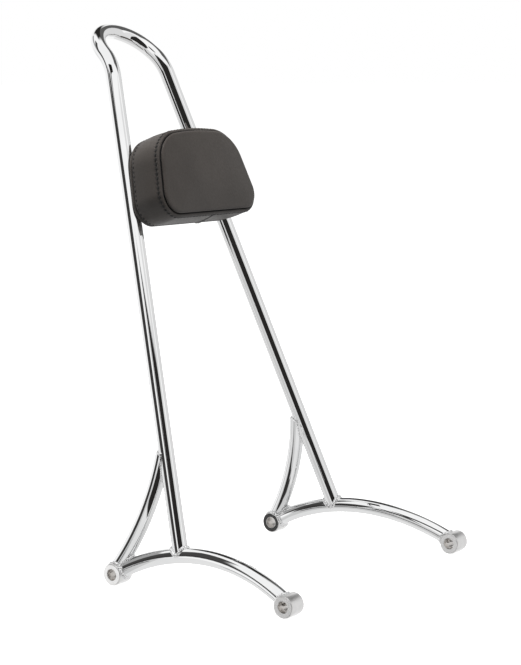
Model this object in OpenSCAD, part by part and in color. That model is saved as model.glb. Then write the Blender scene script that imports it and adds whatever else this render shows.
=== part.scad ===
// Sissy bar: a bent tube hoop on two arched side arms with curved braces, bolt bosses and a small pad
// Millimetres. +X forward, +Y to the left, +Z up. The origin is on the rear bolt axis, half way across.

/* [Tube] */
// Outside diameter of the tube that the hoop, arms and braces are bent from
tube_d = 15.9; // [14:0.1:18]
// Wall thickness of the tube
tube_wall = 2.4; // [1.5:0.1:3]
// Amount by which the hoop's tube is drawn thinner in its tight bends
bend_draw = 0.1; // [0.08:0.02:0.2]
// Gap left between coped tube ends and what they are welded to
weld_gap = 0.1; // [0.05:0.05:0.3]

/* [Side arms] */
// Distance between the rear and the front bolt axes
bolt_base = 220; // [190:1:265]
// Distance between the middles of the two rear bosses
rear_span = 274; // [230:1:320]
// Distance between the middles of the two front bosses
front_span = 301; // [260:1:340]
// Bend radius of an arm, along the middle of its tube
arm_bend_r = 215; // [180:1:260]
// Angle by which the top of each arm leans inwards
arm_cant = 14; // [5:1:20]

/* [Bosses] */
// Outside diameter of a bolt boss
boss_d = 22; // [20:0.5:28]
// Length of a bolt boss
boss_len = 20; // [18:0.5:28]
// Bore of a bolt boss
boss_bore_d = 11.5; // [8:0.1:13.5]
// Chamfer on a boss's outer edges
boss_chamfer = 0.8; // [0.4:0.1:1.2]

/* [Hoop] */
// Distance from the rear bolt axis to the hoop's foot, along the arm's chord
foot_along = 79.6; // [66:0.2:96]
// Angle by which the hoop leans back
lean = 17; // [5:0.5:25]
// Straight length of each leg, from the arm to the bend near the top
leg_len = 496; // [410:1:600]
// Bend radius where the top kicks back
kick_r = 50; // [35:1:60]
// Angle by which the top kicks back
kick_back = 32; // [10:1:45]
// Straight length between the kick and the arch
kick_grip = 4; // [3:0.5:8]
// Radius of the round top arch, along the middle of its tube
arch_r = 39.4; // [32:0.2:50]

/* [Braces] */
// Height at which a brace meets its leg, measured up the leg
brace_up = 113.5; // [94:0.5:140]
// Distance by which a brace's curve passes behind the rear bolt axis
brace_set_back = 5; // [4:0.1:6]
// Bend radius of a brace, along the middle of its tube
brace_bend_r = 272; // [225:1:330]
// Length by which a brace is cut short of the leg's middle
brace_short = 11; // [9:0.1:13.5]

/* [Welds] */
// Height of a weld bead over each surface that it joins
weld_h = 2.6; // [1.5:0.1:3.2]
// Height of the beads that hold the pad's plate
plate_weld_h = 2; // [1:0.1:2.5]

/* [Pad] */
// Width of the pad across its bottom corners
pad_w = 155; // [130:1:180]
// Height of the pad
pad_h = 92; // [78:0.5:110]
// Depth of the band, from the pad's back to the front seam
pad_band = 39.4; // [31:0.2:46]
// Depth of the front panel, from the front seam to its crown
pad_crown = 6.4; // [5.5:0.1:9]
// Radius of the pad's bottom corners
pad_corner_r = 21.5; // [18:0.5:28]
// Radius of the pad's shoulders
pad_shoulder_r = 40.5; // [30:0.5:43]
// Distance between the middles of the two shoulders
pad_shoulder_span = 60; // [52:1:76]
// Rise of the pad's top edge between its shoulders
pad_top_rise = 1; // [0.6:0.1:3]
// Height of the pad's bottom edge above the hoop's feet, along the lean
pad_up = 325; // [270:0.5:380]
// Depth of the front seam's groove
seam_depth = 4.4; // [3.6:0.1:5.2]
// Depth of the rear seam's groove
rear_seam_depth = 1.2; // [0.8:0.1:1.6]
// Distance over which the band turns down into the front seam
seam_run = 4.8; // [3.5:0.1:5.5]
// Distance from the middle of the rear seam's groove to where the band begins
seam_lip = 2; // [1.6:0.1:2.2]
// Bulge of the band between its seams
band_bulge = 0.8; // [0:0.1:1.5]
// Height of the front panel's widest line over the front seam
panel_lip = 1.2; // [0.8:0.1:1.6]
// Distance by which the front panel's widest line stands in from the band
panel_in = 3.4; // [2.6:0.1:4]
// Radius by which the front panel rolls over from its widest line
panel_roll = 5; // [3:0.2:6]
// Distance from the front panel's widest line to where its crown begins
crown_in = 4; // [3.8:0.1:6]
// Radius by which the cover turns over its back edge
edge_roll = 2.6; // [2:0.1:3]
// Distance from the pad's back to the rear seam
rear_seam = 4.6; // [4:0.1:5.5]
// Thickness of the cover
cover_t = 1.2; // [0.8:0.1:1.5]
// Width of the cover's hem, turned in over the board
hem_w = 14; // [11:0.5:16]
// Clearance round soft pieces
soft_gap = 0.3; // [0.2:0.05:0.4]

/* [Pad mounting] */
// Thickness of the board inside the pad
board_t = 6; // [4:0.5:8]
// Thickness of the plate between the legs
plate_t = 3; // [2:0.5:4]
// Height of the plate
plate_h = 46; // [38:1:55]
// Distance between the two pad screws
screw_span = 60; // [50:1:72]
// Thread diameter of a pad screw
screw_d = 6; // [5:0.5:8]
// Diameter of a screw's head
screw_head_d = 10.5; // [9:0.5:14]
// Height of a screw's head
screw_head_h = 3.3; // [2.8:0.1:4.5]
// Width across the flats of a screw's hexagon socket
socket_af = 4; // [3:0.5:5]
// Depth of the screw's hexagon socket
socket_depth = 2; // [1:0.1:2.5]
// Clearance round a screw in its washer, plate hole and insert
screw_gap = 0.2; // [0.1:0.05:0.4]
// Outside diameter of a washer
washer_d = 12.5; // [11:0.5:18]
// Thickness of a washer
washer_t = 1.6; // [1:0.1:2]
// Outside diameter of a spacer between the plate and the board
spacer_d = 14; // [11:0.5:18]
// Outside diameter of a threaded insert in the board
insert_d = 9.5; // [9:0.5:12]

/* [Hidden] */
$fn = 96;
chrome = [0.86, 0.87, 0.88];
weld_chrome = [0.78, 0.79, 0.80];
vinyl = [0.22, 0.20, 0.19];
foam_grey = [0.45, 0.45, 0.46];
board_black = [0.10, 0.10, 0.10];
zinc = [0.72, 0.72, 0.70];
// Reach of a cutting shape past what it cuts
over = 1;
// Length by which a straight stretch of tube runs on into a bend
lap = 0.5;

tube_r = tube_d / 2;
boss_r = boss_d / 2;
left = [0, 1, 0];

function unit(v) = v / norm(v);
// The part of v that is square to the unit vector n, made one long
function square_to(v, n) = unit(v - (v * n) * n);

// The left arm: an arc in a canted plane, through the middles of its two bosses
rear_boss = [0, rear_span / 2, 0];
front_boss = [bolt_base, front_span / 2, 0];
arm_chord = norm(front_boss - rear_boss);
arm_along = unit(front_boss - rear_boss);
arm_up = square_to([0, -sin(arm_cant), cos(arm_cant)], arm_along);
arm_half_turn = asin(arm_chord / 2 / arm_bend_r);
arm_centre = (rear_boss + front_boss) / 2 - arm_bend_r * cos(arm_half_turn) * arm_up;
function arm_spoke(turn) = sin(turn) * arm_along + cos(turn) * arm_up;

// The hoop stands on the arms at foot. Its legs lie in the lean plane, which has +X to the left,
// +Y up the lean and +Z forward, with its origin half way between the two feet
foot = arm_centre + arm_bend_r * arm_spoke(asin((foot_along - arm_chord / 2) / arm_bend_r));
lean_up = [-sin(lean), 0, cos(lean)];
lean_out = [cos(lean), 0, sin(lean)];
lean_origin = [foot.x, 0, foot.z];

// The kick turns each leg by kick_turn. Seen square on, its two tangents are kick_run long together,
// and the taper is what brings a leg of this length to an arch of this radius
function kick_turn(taper) = acos(cos(taper) ^ 2 * cos(kick_back) + sin(taper) ^ 2);
function kick_run(taper) = 2 * kick_r * tan(kick_turn(taper) / 2);
function taper_for(guess, rounds) = rounds == 0 ? guess :
    let (run = leg_len + kick_run(guess) + kick_grip)
    taper_for(asin(foot.y / norm([run, arch_r])) - atan2(arch_r, run), rounds - 1);
taper = taper_for(0, 8);
leg_dir = [-sin(taper), cos(taper), 0];
kick_dir = [-sin(taper), cos(taper) * cos(kick_back), -cos(taper) * sin(kick_back)];
kick_start = [foot.y, 0, 0] + leg_len * leg_dir;
kick_end = kick_start + kick_run(taper) / 2 * (leg_dir + kick_dir);
kick_axis = unit(cross(leg_dir, kick_dir));
arch_axis = unit(cross(kick_dir, [-1, 0, 0]));
arch_start = kick_end + kick_grip * kick_dir;
arch_centre = arch_start + arch_r * cross(arch_axis, kick_dir);

// The left brace: an arc hollow to the rear, from behind the rear bolt axis to the middle of the leg
leg_way = leg_dir.x * left + leg_dir.y * lean_up;
brace_low = rear_boss - [brace_set_back, 0, 0];
brace_high = foot + brace_up * leg_way;
brace_chord = norm(brace_high - brace_low);
brace_along = unit(brace_high - brace_low);
brace_back = square_to([-1, 0, 0], brace_along);
brace_half_turn = asin(brace_chord / 2 / brace_bend_r);
brace_centre = (brace_low + brace_high) / 2 + brace_bend_r * cos(brace_half_turn) * brace_back;
brace_first = -brace_half_turn + 360 * brace_set_back / (2 * PI * brace_bend_r);
brace_last = brace_half_turn - 360 * brace_short / (2 * PI * brace_bend_r);
brace_end = brace_centre + brace_bend_r * (sin(brace_last) * brace_along - cos(brace_last) * brace_back);

// The pad's levels, measured forward from the middle of the legs, and its mounting
cover_back = tube_r + soft_gap;
board_back = cover_back + cover_t + soft_gap;
plate_up = pad_up + pad_h / 2;
// The pad's outline has this many points
stops = 60;
// The rolled edge of the front panel turns through this angle
roll_turn = 67.5;
// Share of the crown's depth that the rolled edge takes
roll_share = 0.5;
// The crown's rings, as shares of its outline, and the power by which it falls off towards its edge
crown_shares = [0.88, 0.7, 0.45, 0.15];
crown_power = 2.4;
// A ball rounds the bead at the hoop's foot: its height up the leg in tube radii, and its size in beads
foot_ball_up = 1.35;
foot_ball_size = 1.2;
// How far a brace's bead reaches round the brace's end, in tube radii
crotch_reach = 3.4;
// How far the bead in the corner between arm and brace reaches from the bolt axis, in boss radii
corner_reach = 2.9;

// Places children with their origin at p, their X along x and their Z along z, both unit vectors
module basis(p, x, z) {
    y = cross(z, x);
    multmatrix([[x.x, y.x, z.x, p.x], [x.y, y.y, z.y, p.y], [x.z, y.z, z.z, p.z]]) children();
}

// Draws children in the lean plane
module in_lean_plane() {
    basis(lean_origin, left, lean_out) children();
}

// Draws the left-hand child, or its mirror image
module side(name) {
    if (name == "left") children();
    else mirror([0, 1, 0]) children();
}

// A straight rod from p in the direction dir, drawn in the lean plane
module rod(p, dir, r, length) {
    basis(p, unit(cross(dir, [0, 0, -1])), dir) cylinder(r = r, h = length);
}

// A rod up the left leg from the foot, drawn in the lean plane
module leg_rod(r, length) {
    rod([foot.y, 0, 0], leg_dir, r, length);
}

// A ring's segment: the bend's centre, its axis, the spoke that it starts at, its radius and its turn
module bend(centre, axis, spoke, bend_r, turn, r, bore_r = 0) {
    basis(centre, spoke, axis) rotate_extrude(angle = turn, $fn = 180) translate([bend_r, 0])
        difference() {
            circle(r = r, $fn = 64);
            if (bore_r > 0) circle(r = bore_r, $fn = 64);
        }
}

// The left arm's arc as a rod, or as a tube if bore_r is given
module arm_rod(r, bore_r = 0) {
    bend(arm_centre, cross(arm_up, arm_along), arm_spoke(-arm_half_turn), arm_bend_r,
        2 * arm_half_turn, r, bore_r);
}

// The left brace's arc from one turn to another, as a rod, or as a tube if bore_r is given
module brace_rod(first, last, r, bore_r = 0) {
    bend(brace_centre, cross(-brace_back, brace_along), sin(first) * brace_along - cos(first) * brace_back,
        brace_bend_r, last - first, r, bore_r);
}

// The outside of the boss at p, as a plain rod
module boss_rod(p, r, length) {
    translate(p) rotate([-90, 0, 0]) translate([0, 0, -length / 2]) cylinder(r = r, h = length);
}

module boss(p) {
    bore_r = boss_bore_d / 2;
    half = boss_len / 2;
    cut = boss_chamfer;
    color(chrome) translate(p) rotate([-90, 0, 0]) rotate_extrude()
        polygon([[bore_r, -half], [boss_r - cut, -half], [boss_r, cut - half], [boss_r, half - cut],
            [boss_r - cut, half], [bore_r, half]]);
}

module arm() {
    color(chrome) difference() {
        arm_rod(tube_r, tube_r - tube_wall);
        boss_rod(rear_boss, boss_r + weld_gap, boss_len);
        boss_rod(front_boss, boss_r + weld_gap, boss_len);
    }
}

module brace() {
    color(chrome) difference() {
        brace_rod(brace_first, brace_last, tube_r, tube_r - tube_wall);
        boss_rod(rear_boss, boss_r + weld_gap, boss_len);
        arm_rod(tube_r + weld_gap);
        in_lean_plane() leg_rod(tube_r + weld_gap, leg_len);
    }
}

// One side of the hoop as a rod, from below the foot to the arch, drawn in the lean plane
module hoop_side(r) {
    leg_rod(r, leg_len + lap);
    bend(kick_start + kick_r * cross(kick_axis, leg_dir), kick_axis, cross(leg_dir, kick_axis), kick_r,
        kick_turn(taper), r - bend_draw / 2);
    rod(kick_end - lap * kick_dir, kick_dir, r, kick_grip + 2 * lap);
}

// The whole hoop as a rod
module hoop_rod(r) {
    hoop_side(r);
    mirror([1, 0, 0]) hoop_side(r);
    bend(arch_centre, arch_axis, cross(kick_dir, arch_axis), arch_r, 180 - 2 * taper, r - bend_draw / 2);
}

module hoop_tube() {
    color(chrome) difference() {
        in_lean_plane() hoop_rod(tube_r);
        in_lean_plane() hoop_rod(tube_r - tube_wall);
        arm_rod(tube_r + weld_gap);
        mirror([0, 1, 0]) arm_rod(tube_r + weld_gap);
    }
}

// The bead round the left foot of the hoop, rounded by a ball that sits a little up the leg
module weld_foot() {
    grown = tube_r + weld_h;
    color(weld_chrome) difference() {
        intersection() {
            in_lean_plane() leg_rod(grown, 3 * tube_r);
            translate(foot + foot_ball_up * tube_r * leg_way) sphere(r = foot_ball_size * grown);
            arm_rod(grown);
        }
        in_lean_plane() leg_rod(tube_r, 4 * tube_r);
        arm_rod(tube_r);
    }
}

// The bead where the left brace lies on its leg, over the brace's cut end and down its crotch
module weld_brace() {
    grown = tube_r + weld_h;
    end_turn = 360 * weld_h / (2 * PI * brace_bend_r);
    color(weld_chrome) difference() {
        intersection() {
            brace_rod(0, brace_last + end_turn, grown);
            in_lean_plane() leg_rod(grown, leg_len / 2);
            translate(brace_end) sphere(r = crotch_reach * tube_r);
        }
        brace_rod(0, brace_last, tube_r);
        in_lean_plane() leg_rod(tube_r, leg_len / 2);
    }
}

// The beads round the left rear boss, where the arm and the brace both end
module weld_rear() {
    grown = tube_r + weld_h;
    seat = boss_len - 2 * boss_chamfer;
    color(weld_chrome) difference() {
        union() {
            intersection() {
                arm_rod(grown);
                boss_rod(rear_boss, boss_r + weld_h, seat);
            }
            intersection() {
                brace_rod(brace_first, 0, grown);
                boss_rod(rear_boss, boss_r + weld_h, seat);
            }
            intersection() {
                brace_rod(brace_first, 0, grown);
                arm_rod(grown);
                boss_rod(rear_boss, corner_reach * boss_r, seat);
            }
        }
        boss_rod(rear_boss, boss_r, boss_len);
        brace_rod(brace_first, 0, tube_r);
        arm_rod(tube_r);
    }
}

module weld_front() {
    color(weld_chrome) difference() {
        intersection() {
            arm_rod(tube_r + weld_h);
            boss_rod(front_boss, boss_r + weld_h, boss_len - 2 * boss_chamfer);
        }
        boss_rod(front_boss, boss_r, boss_len);
        arm_rod(tube_r);
    }
}

// The pad's outline is what a band pulled round four discs would have, two corners and two shoulders,
// with the flat arc of the top edge between the shoulders. Each disc is [x, y, radius], and y is
// measured from the pad's bottom
shoulder_x = pad_shoulder_span / 2;
shoulder_y = pad_h - pad_top_rise - pad_shoulder_r;
corner_x = pad_w / 2 - pad_corner_r;
top_r = (shoulder_x ^ 2 + pad_top_rise ^ 2) / (2 * pad_top_rise);
top_disc = [0, pad_h - top_r, top_r];
side_discs = [[corner_x, pad_corner_r, pad_corner_r], [shoulder_x, shoulder_y, pad_shoulder_r],
    [-shoulder_x, shoulder_y, pad_shoulder_r], [-corner_x, pad_corner_r, pad_corner_r]];
function reach(disc, a) = disc.x * cos(a) + disc.y * sin(a) + disc.z;
function furthest(a) = let (far = max([for (disc = side_discs) reach(disc, a)]))
    [for (disc = side_discs) if (reach(disc, a) == far) disc][0];
function edge_point(a, inset) =
    let (disc = abs(a - 90) < asin(shoulder_x / top_r) ? top_disc : furthest(a))
    [disc.x, disc.y] + (disc.z - inset) * [cos(a), sin(a)];
function pad_outline(inset) = [for (i = [0:stops - 1]) edge_point((i + 0.5) * 360 / stops, inset)];

// The pad's section as rings of [inset, level, share]: the outline at that inset, that far in front of
// the pad's back, shrunk to that share of its size about the middle. A skin inside the cover's own
// stands back from it by wall. The band bulges a little between its two sewn seams, and the front
// panel rolls over from the front seam to a low crown
function band_rings(wall) = let (
        first = rear_seam + seam_lip,
        last = pad_band - seam_run)
    [[rear_seam_depth + wall, rear_seam, 1], [wall, first, 1],
    for (k = [1:3]) [wall - band_bulge * sin(45 * k), first + (last - first) * k / 4, 1],
    for (a = [0:30:90]) [wall + seam_depth * (1 - cos(a)), pad_band - seam_run * (1 - sin(a)), 1]];
function panel_rings(wall) = let (
        edge = wall + panel_in,
        roll_y = roll_share * (pad_crown - wall),
        crown_y = pad_crown - wall - roll_y)
    [for (a = [0:roll_turn / 3:roll_turn]) [edge + panel_roll * (1 - cos(a)),
        pad_band + panel_lip + (roll_y - panel_lip) * sin(a) / sin(roll_turn), 1],
    for (share = crown_shares) [edge + crown_in,
        pad_band + roll_y + crown_y * (1 - share ^ crown_power), share]];
function back_rings(wall) = [for (a = [0:45:90])
    [wall + edge_roll * (1 - sin(a)), wall + edge_roll * (1 - cos(a)), 1]];

// A closed skin over the rings, drawn in the lean plane
module pad_loft(rings) {
    middle = [0, pad_h / 2];
    points = [for (ring = rings) for (p = pad_outline(ring[0]))
        let (q = middle + ring[2] * (p - middle)) [q.x, q.y, ring[1]]];
    walls = [for (k = [0:len(rings) - 2]) for (i = [0:stops - 1])
        let (next = (i + 1) % stops)
        [k * stops + i, (k + 1) * stops + i, (k + 1) * stops + next, k * stops + next]];
    back = [for (i = [0:stops - 1]) i];
    front = [for (i = [stops - 1:-1:0]) (len(rings) - 1) * stops + i];
    translate([0, pad_up, cover_back]) polyhedron(points, concat([back], walls, [front]));
}

// The pad's outline at that inset as a slab, from one level in front of its back to another
module pad_slab(inset, from, to) {
    translate([0, pad_up, cover_back + from]) linear_extrude(to - from) polygon(pad_outline(inset));
}

// Places its child at each pad screw, in the lean plane
module at_screws() {
    for (x = [-0.5, 0.5] * screw_span) translate([x, plate_up, 0]) children();
}

// A ring or rod on a screw's axis, from one level to another in front of the legs' middle
module on_screw(r, bore_r, from, to) {
    at_screws() translate([0, 0, from]) difference() {
        cylinder(r = r, h = to - from);
        if (bore_r > 0) translate([0, 0, -over]) cylinder(r = bore_r, h = to - from + 2 * over);
    }
}

module pad_cover() {
    color(vinyl) in_lean_plane() difference() {
        pad_loft(concat(back_rings(0), band_rings(0), panel_rings(0)));
        pad_loft(concat(back_rings(cover_t), band_rings(cover_t), panel_rings(cover_t)));
        pad_slab(hem_w, -over, 2 * cover_t);
    }
}

module pad_foam() {
    skin = cover_t + soft_gap;
    first = board_back + board_t + soft_gap - cover_back;
    rings = concat(band_rings(skin), panel_rings(skin));
    color(foam_grey) in_lean_plane()
        pad_loft(concat([[skin, first, 1]], [for (ring = rings) if (ring[1] > first + 1) ring]));
}

module pad_board() {
    first = board_back - cover_back;
    color(board_black) in_lean_plane() difference() {
        pad_slab(rear_seam_depth + cover_t + soft_gap, first, first + board_t);
        on_screw(insert_d / 2, 0, board_back - over, board_back + board_t + over);
    }
}

module pad_inserts() {
    color(zinc) in_lean_plane()
        on_screw(insert_d / 2, screw_d / 2 + screw_gap / 2, board_back, board_back + board_t);
}

module pad_spacers() {
    color(zinc) in_lean_plane() on_screw(spacer_d / 2, screw_d / 2 + screw_gap, plate_t / 2, board_back);
}

// The outline between the middles of the two legs, over the plate's height
module plate_slab(t) {
    low = plate_up - plate_h / 2;
    high = plate_up + plate_h / 2;
    low_x = foot.y - low * tan(taper);
    high_x = foot.y - high * tan(taper);
    translate([0, 0, -t / 2]) linear_extrude(t)
        polygon([[-low_x, low], [low_x, low], [high_x, high], [-high_x, high]]);
}

module pad_plate() {
    color(chrome) in_lean_plane() difference() {
        plate_slab(plate_t);
        leg_rod(tube_r + weld_gap, leg_len);
        mirror([1, 0, 0]) leg_rod(tube_r + weld_gap, leg_len);
        on_screw(screw_d / 2 + screw_gap, 0, -plate_t, plate_t);
    }
}

// The two beads, behind and in front, that hold the plate to the left leg
module weld_plate() {
    color(weld_chrome) in_lean_plane() difference() {
        intersection() {
            plate_slab(plate_t + 2 * plate_weld_h);
            leg_rod(tube_r + plate_weld_h, leg_len);
        }
        leg_rod(tube_r, leg_len);
        plate_slab(plate_t);
    }
}

module pad_washers() {
    back = -plate_t / 2;
    color(zinc) in_lean_plane() on_screw(washer_d / 2, screw_d / 2 + screw_gap, back - washer_t, back);
}

module pad_screws() {
    seat = -plate_t / 2 - washer_t;
    color(zinc) in_lean_plane() at_screws() difference() {
        union() {
            translate([0, 0, seat - screw_head_h]) cylinder(r = screw_head_d / 2, h = screw_head_h);
            translate([0, 0, seat]) cylinder(r = screw_d / 2, h = board_back + board_t - seat - screw_gap);
        }
        translate([0, 0, seat - screw_head_h - over])
            cylinder(d = socket_af / cos(30), h = socket_depth + over, $fn = 6);
    }
}

hoop_tube();
side("left") arm();  // arm_left
side("right") arm();  // arm_right
side("left") brace();  // brace_left
side("right") brace();  // brace_right
side("left") boss(rear_boss);  // boss_rear_left
side("right") boss(rear_boss);  // boss_rear_right
side("left") boss(front_boss);  // boss_front_left
side("right") boss(front_boss);  // boss_front_right
side("left") weld_foot();  // weld_foot_left
side("right") weld_foot();  // weld_foot_right
side("left") weld_brace();  // weld_brace_left
side("right") weld_brace();  // weld_brace_right
side("left") weld_rear();  // weld_rear_left
side("right") weld_rear();  // weld_rear_right
side("left") weld_front();  // weld_front_left
side("right") weld_front();  // weld_front_right
pad_plate();
side("left") weld_plate();  // weld_plate_left
side("right") weld_plate();  // weld_plate_right
pad_cover();
pad_foam();
pad_board();
pad_inserts();
pad_spacers();
pad_screws();
pad_washers();
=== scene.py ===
# Chromed sissy bar with a small stitched pad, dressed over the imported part
import math

import bmesh
import bpy
from mathutils import Matrix, Vector, noise


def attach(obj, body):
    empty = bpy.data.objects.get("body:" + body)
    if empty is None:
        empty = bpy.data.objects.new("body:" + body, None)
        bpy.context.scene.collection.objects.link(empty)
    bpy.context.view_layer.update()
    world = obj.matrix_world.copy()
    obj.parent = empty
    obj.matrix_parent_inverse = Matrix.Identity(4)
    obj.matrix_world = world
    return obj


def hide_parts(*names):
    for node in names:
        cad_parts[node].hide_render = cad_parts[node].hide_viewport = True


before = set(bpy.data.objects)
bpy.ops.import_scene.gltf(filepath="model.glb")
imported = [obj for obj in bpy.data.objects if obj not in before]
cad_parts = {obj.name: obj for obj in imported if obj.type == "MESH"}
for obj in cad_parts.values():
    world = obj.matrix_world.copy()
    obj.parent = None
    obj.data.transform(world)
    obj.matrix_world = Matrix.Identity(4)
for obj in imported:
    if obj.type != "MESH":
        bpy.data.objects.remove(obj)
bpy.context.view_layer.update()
scene = bpy.context.scene
print("frame loaded")

cameraLook = {
    "place": (1.40756, -1.81551, 0.54395),
    "yawDegrees": 126.09,
    "pitchDegrees": -7.89,
    "rollDegrees": -1.24,
    "sensorMm": 36,
    "lensMm": 153.69,
    "clipEnd": 40,
}


def addCamera(look):
    yaw, pitch, roll = (math.radians(look[turn + "Degrees"]) for turn in ("yaw", "pitch", "roll"))
    ahead = Vector((math.cos(pitch) * math.cos(yaw), math.cos(pitch) * math.sin(yaw), math.sin(pitch)))
    level = Vector((math.sin(yaw), -math.cos(yaw), 0))
    upright = level.cross(ahead)
    right = math.cos(roll) * level + math.sin(roll) * upright
    up = -math.sin(roll) * level + math.cos(roll) * upright
    lens = bpy.data.cameras.new("photoCamera")
    lens.sensor_fit = "HORIZONTAL"
    lens.sensor_width = look["sensorMm"]
    lens.lens = look["lensMm"]
    lens.clip_end = look["clipEnd"]
    camera = bpy.data.objects.new("photoCamera", lens)
    scene.collection.objects.link(camera)
    turn = Matrix((right, up, -ahead)).transposed().to_4x4()
    camera.matrix_world = Matrix.Translation(look["place"]) @ turn
    scene.camera = camera


addCamera(cameraLook)
print("camera set")


# Adds a node, sets its fields, and fills its inputs: a socket is linked, anything else is its value
def addNode(tree, kind, inputs=None, **fields):
    node = tree.nodes.new(kind)
    for name, value in fields.items():
        setattr(node, name, value)
    for key, value in (inputs or {}).items():
        if isinstance(value, bpy.types.NodeSocket):
            tree.links.new(value, node.inputs[key])
        else:
            node.inputs[key].default_value = value
    return node


def mathNode(tree, operation, first, second=0.0, third=0.0):
    values = {0: first, 1: second, 2: third}
    return addNode(tree, "ShaderNodeMath", values, operation=operation).outputs[0]


def newGroup(name, kind, inputs, outputs):
    tree = bpy.data.node_groups.new(name, kind)
    for label, socketType, value in inputs:
        socket = tree.interface.new_socket(name=label, in_out="INPUT", socket_type=socketType)
        if value is not None:
            socket.default_value = value
    for label, socketType in outputs:
        tree.interface.new_socket(name=label, in_out="OUTPUT", socket_type=socketType)
    return tree, tree.nodes.new("NodeGroupInput"), tree.nodes.new("NodeGroupOutput")


def mapRange(tree, value, fromRange, toRange, kind="LINEAR"):
    values = {"Value": value, "From Min": fromRange[0], "From Max": fromRange[1],
              "To Min": toRange[0], "To Max": toRange[1]}
    return addNode(tree, "ShaderNodeMapRange", values, interpolation_type=kind).outputs["Result"]


def blendColours(tree, share, first, second):
    return addNode(tree, "ShaderNodeMix", {0: share, 6: first, 7: second}, data_type="RGBA").outputs[2]


studio = {
    "floorLevel": -0.0111,
    "floorSize": 30,
    "floorColour": (0.45, 0.45, 0.45, 1),
    "floorGlow": 0.9,
    "white": (1, 1, 1, 1),
    "tentLevel": 1.0,
    "fillAxis": (0.0, 0.4, 1.0),  # the soft light grows this way
    "fillPlaces": (-0.5, 0.8),  # along that axis, from the weakest to the strongest
    "fillRange": (0.08, 0.42),
    "darkColour": (0.012, 0.011, 0.01, 1),
}

# Dark gaps in the white tent that the chrome mirrors, seen from the part: azimuth, elevation and lean of
# the middle, half the width, half the height and the softness of the edge in degrees, then the strength
tentGaps = {
    "frontLow": (-50.3, -3.9, -25.2, 34.1, 19.5, 0.9, 0.99),
    "frontCloth": (-36.7, 15.1, -2.1, 25.6, 16.3, 0.7, 0.99),
    "frontGrey": (-0.9, -12.1, -5.3, 16.5, 46.6, 0.8, 0.22),
    "sideFold": (-80.3, 40.5, 25, 19.7, 6, 0.7, 1),
    "sideDrop": (-110.1, 15.9, 6.1, 14.3, 8.6, 0.7, 0.97),
    "rearPole": (-121, 5, 12.6, 13.2, 12.8, 0.7, 0.97),
    "rearTop": (-142.7, 27.3, 18.8, 8.2, 26.6, 1.7, 0.95),
    "rearFold": (-163.7, 26.1, -20.7, 25.8, 7, 0.8, 0.63),
    "rearSlit": (-152.4, -16.5, 12.8, 2, 14.4, 0.7, 0.89),
    "ceilingGap": (134.3, 50.9, -64.1, 20.6, 15.4, 5, 0.99),
    "ceilingSlit": (69.6, 45.4, -3.2, 29.4, 14.4, 0.8, 0.9),
    "sideGrey": (53.6, -13.4, -40.4, 38.6, 61.3, 1, 0.25),
    "tableShade": (-83.3, -66.2, -59.5, 65.8, 19.9, 1.5, 0.37),
    "stand": (-125.9, -12.8, 0, 0.9, 1.1, 0.4, 0.95),
    "lowPost": (-99.3, -42.6, 53.2, 5.2, 16.7, 0.7, 0.98),
    "lowFold": (-76.8, -52, -22.5, 12, 3, 0.7, 0.95),
    "groundShade": (-117, -55.7, 25.2, 73.2, 40, 1, 0.18),
    "farPost": (-111.5, -17, 12.5, 14.5, 3.3, 0.5, 0.99),
}


def buildGapMask():
    inputs = [
        ("Direction", "NodeSocketVector", None),
        ("Turn", "NodeSocketVector", None),
        ("Half Width", "NodeSocketFloat", 10),
        ("Half Height", "NodeSocketFloat", 10),
        ("Softness", "NodeSocketFloat", 2),
    ]
    tree, source, sink = newGroup("tentGapMask", "ShaderNodeTree", inputs, [("Mask", "NodeSocketFloat")])
    values = {"Vector": source.outputs["Direction"], "Rotation": source.outputs["Turn"]}
    turned = addNode(tree, "ShaderNodeVectorRotate", values, rotation_type="EULER_XYZ", invert=True)
    parts = addNode(tree, "ShaderNodeSeparateXYZ", {0: turned.outputs[0]}).outputs
    flat = mathNode(tree, "SQRT", mathNode(tree, "ADD", mathNode(tree, "MULTIPLY", parts[0], parts[0]),
                                           mathNode(tree, "MULTIPLY", parts[1], parts[1])))
    across = mathNode(tree, "DEGREES", mathNode(tree, "ARCTAN2", parts[1], parts[0]))
    upward = mathNode(tree, "DEGREES", mathNode(tree, "ARCTAN2", parts[2], flat))
    softness = source.outputs["Softness"]
    edge = (mathNode(tree, "MULTIPLY", softness, -1.0), softness)
    sides = []
    for angle, half in ((across, "Half Width"), (upward, "Half Height")):
        past = mathNode(tree, "SUBTRACT", mathNode(tree, "ABSOLUTE", angle), source.outputs[half])
        sides.append(mapRange(tree, past, edge, (1.0, 0.0), "SMOOTHSTEP"))
    tree.links.new(mathNode(tree, "MULTIPLY", sides[0], sides[1]), sink.inputs["Mask"])
    return tree


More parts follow.
